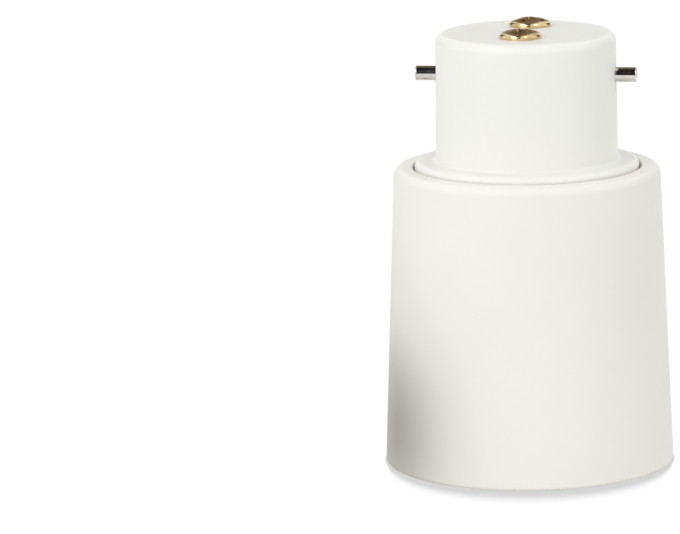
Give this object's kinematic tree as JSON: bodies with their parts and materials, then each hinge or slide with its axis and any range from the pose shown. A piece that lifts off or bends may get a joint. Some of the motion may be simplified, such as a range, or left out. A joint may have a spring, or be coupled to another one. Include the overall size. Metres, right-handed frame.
{
  "type": "lamp socket adapter",
  "caption": "Lamp socket adapter: a two-pin bayonet cap on top of a tapered round housing, with a screw lampholder recessed in its open mouth.",
  "frame": {"origin": "centre of the mouth's rim, on the surface that the adapter stands on", "axes": "+Z along the adapter's axis from the mouth up to the bayonet contacts; the bayonet pins lie along X and the contact screws along Y, the front one at -Y"},
  "size_m": [0.0353, 0.0352, 0.0541],
  "materials": {
    "white_plastic": "moulded white plastic, satin, very slightly warm",
    "cap_plastic": "moulded white plastic, satin",
    "nickel_steel": "nickel-plated steel, polished",
    "contact_brass": "pressed brass screw, bright",
    "nut_brass": "cut brass, plain",
    "strip_brass": "brass strip, bent, plain",
    "insulator_plastic": "moulded grey-beige insulating plastic, matt",
    "drawn_brass": "drawn and rolled brass sheet, bright, faintly brushed",
    "spring_bronze": "spring strip, warm and slightly heat-tinted",
    "coppered_screw": "coppered pan-head screw, dark in the recess"
  },
  "bodies": {
    "adapter": {"housing": "white_plastic", "bayonet_cap": "cap_plastic", "bayonet_pin_left": "nickel_steel", "bayonet_pin_right": "nickel_steel", "contact_screw_front": "contact_brass", "contact_screw_rear": "contact_brass", "contact_nut_front": "nut_brass", "contact_nut_rear": "nut_brass", "live_link": "strip_brass", "neutral_link": "strip_brass", "socket_base": "insulator_plastic", "screw_shell": "drawn_brass", "centre_contact_screw": "coppered_screw", "centre_contact_nut": "nut_brass", "shell_terminal_screw": "coppered_screw", "shell_terminal_nut": "nut_brass", "shell_fixing_screw_left": "coppered_screw", "shell_fixing_screw_right": "coppered_screw"},
    "contact_spring": {"centre_contact": "spring_bronze"}
  },
  "joints": [
    {"name": "contact_press", "type": "hinge", "parent": "adapter", "child": "contact_spring", "pos_m": [0, -0.0045, 0.0302], "axis": [1, 0, 0], "range_deg": [0, 10], "stiffness_Nm_per_rad": 0.2, "deforming": ["centre_contact"]}
  ]
}
